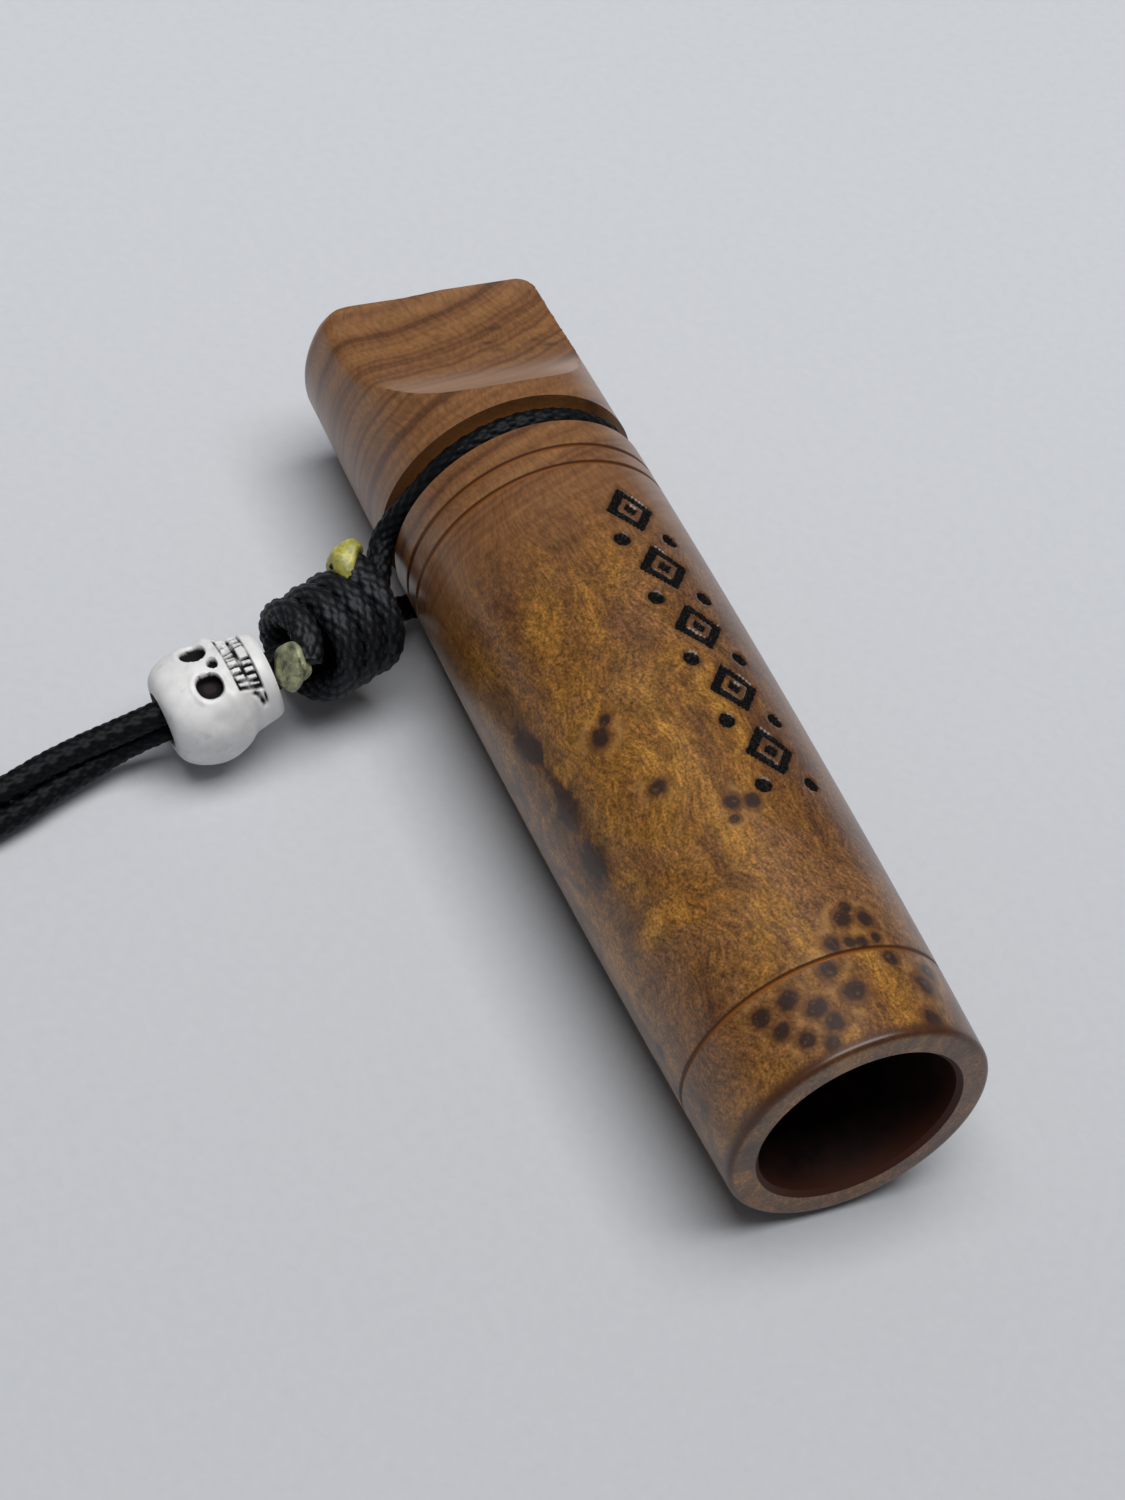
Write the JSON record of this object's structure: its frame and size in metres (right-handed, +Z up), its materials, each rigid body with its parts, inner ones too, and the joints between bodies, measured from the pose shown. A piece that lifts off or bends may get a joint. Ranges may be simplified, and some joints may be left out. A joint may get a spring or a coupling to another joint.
{
  "type": "wooden predator call with lanyard",
  "caption": "Turned burl-wood game call with a lip-scooped mouthpiece, enclosed reed and open bell, held by a black cord noose with a wrapped knot and a sliding skull bead.",
  "frame": {"origin": "on the surface the call lies on, under the middle of the call's length and width, without the lanyard", "axes": "+X along the call towards its bell end, +Z up, -Y the side the lanyard leaves from"},
  "size_m": [0.111, 0.12, 0.0256],
  "materials": {
    "burl_wood": "glossy oil and wax finish",
    "insert_plastic": "moulded",
    "tone_plastic": "moulded",
    "reed_brass": "rolled strip",
    "seal_rubber": "moulded",
    "wedge_rubber": "cut",
    "black_cord": "braided",
    "knot_cord": "braided",
    "noose_cord": "braided",
    "melted_yellow": "melted",
    "melted_olive": "melted",
    "bead_white": "moulded, recesses stained dark",
    "tie_band": "woven band"
  },
  "bodies": {
    "call": {"call_body": "burl_wood", "reed_housing": "insert_plastic", "seal_ring_front": "seal_rubber", "seal_ring_rear": "seal_rubber", "tone_trough": "tone_plastic", "reed_wedge": "wedge_rubber", "noose": "noose_cord", "knot_wrap": "knot_cord", "lanyard_cord": "black_cord", "melted_end_upper": "melted_yellow", "melted_end_lower": "melted_olive", "coil_tie": "tie_band"},
    "bead": {"skull_bead": "bead_white"},
    "reed": {"reed": "reed_brass"}
  },
  "joints": [
    {"name": "bead_slide", "type": "slide", "parent": "call", "child": "bead", "axis": [0.062, -0.9593, -0.2756], "range_m": [0, 0.0028]},
    {"name": "reed_flex", "type": "hinge", "parent": "call", "child": "reed", "pos_m": [0.003, 0, 0.0134], "axis": [0, 1, 0], "range_deg": [-1, 1], "stiffness_Nm_per_rad": 0.02}
  ]
}
